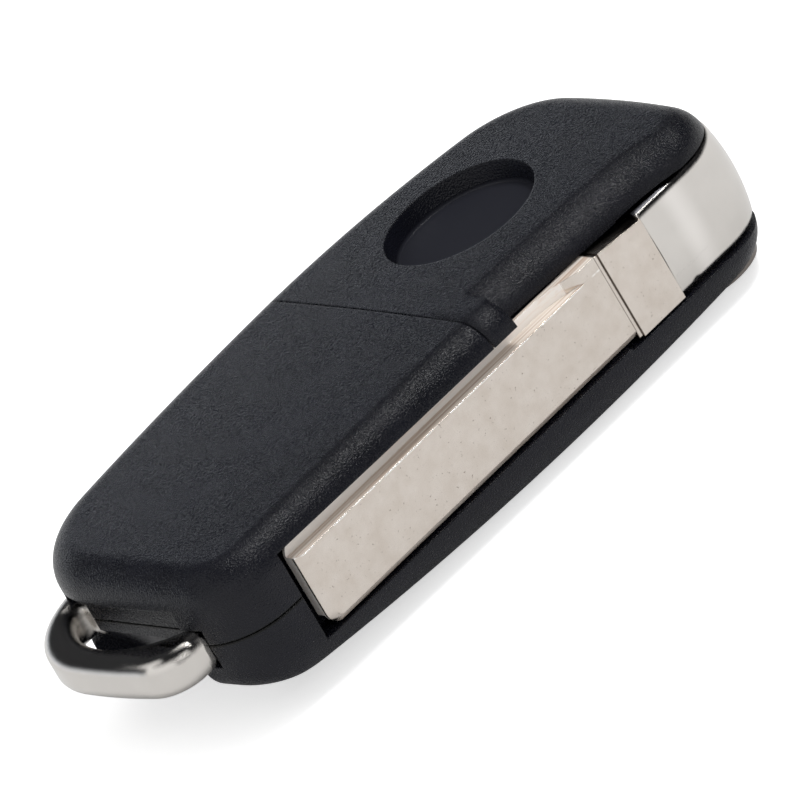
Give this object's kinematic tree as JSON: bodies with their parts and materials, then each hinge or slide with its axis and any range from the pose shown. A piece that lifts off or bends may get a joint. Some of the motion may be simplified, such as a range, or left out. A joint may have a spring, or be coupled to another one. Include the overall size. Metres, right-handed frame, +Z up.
{
  "type": "flip key shell",
  "caption": "Folded car flip key shell: two-piece back cover, side-folding blade on a metal flip head, release button, keypad and key ring loop.",
  "frame": {"origin": "centre of the folded key seen from above, loop included, at the lowest point of the release button", "axes": "+X from the key ring loop to the flip head, +Y from the blade's side to the far side, +Z up to the back face; the key lies on its button face"},
  "size_m": [0.0754, 0.0325, 0.0164],
  "materials": {
    "black_plastic": "fine grain, matte",
    "key_plastic": "matte",
    "tray_plastic": "matte",
    "pad_rubber": "matte",
    "chrome": "polished",
    "button_metal": "dark polished",
    "blade_metal": "nickel silver, milled",
    "pin_steel": "plain",
    "spring_steel": "plain",
    "contact_metal": "nickel plated",
    "screw_steel": "zinc plated, dark"
  },
  "bodies": {
    "shell": {"front_housing": "black_plastic", "head_back_cover": "black_plastic", "pivot_cap": "pin_steel", "button_pad": "pad_rubber", "inner_tray": "tray_plastic", "battery_contact_positive": "contact_metal", "battery_contact_negative": "contact_metal", "transponder_cover": "tray_plastic", "key_ring_loop": "chrome", "tail_screws": "screw_steel", "head_cover_screw": "screw_steel"},
    "lid": {"battery_cover": "black_plastic"},
    "flip": {"flip_head": "chrome", "key_blade": "blade_metal", "blade_pin": "pin_steel", "flip_spring": "spring_steel"},
    "release": {"release_button": "button_metal"},
    "lock_key": {"lock_button": "key_plastic"},
    "unlock_key": {"unlock_button": "key_plastic"},
    "trunk_key": {"trunk_button": "key_plastic"}
  },
  "joints": [
    {"name": "blade_flip", "type": "hinge", "parent": "shell", "child": "flip", "pos_m": [0.03055, -0.009, 0.00865], "axis": [0, 0, 1], "range_deg": [0, 180]},
    {"name": "release_press", "type": "slide", "parent": "flip", "child": "release", "axis": [0, 0, 1], "range_m": [0, 0.0012], "stiffness_N_per_m": 1500, "springref_m": -0.001, "deforming": ["flip_spring"]},
    {"name": "battery_cover_lift", "type": "slide", "parent": "shell", "child": "lid", "axis": [0, 0, 1], "range_m": [0, 0.015]},
    {"name": "lock_press", "type": "slide", "parent": "shell", "child": "lock_key", "axis": [0, 0, 1], "range_m": [0, 0.0004], "stiffness_N_per_m": 1500, "springref_m": -0.0003},
    {"name": "unlock_press", "type": "slide", "parent": "shell", "child": "unlock_key", "axis": [0, 0, 1], "range_m": [0, 0.0004], "stiffness_N_per_m": 1500, "springref_m": -0.0003},
    {"name": "trunk_press", "type": "slide", "parent": "shell", "child": "trunk_key", "axis": [0, 0, 1], "range_m": [0, 0.0004], "stiffness_N_per_m": 1500, "springref_m": -0.0003}
  ]
}
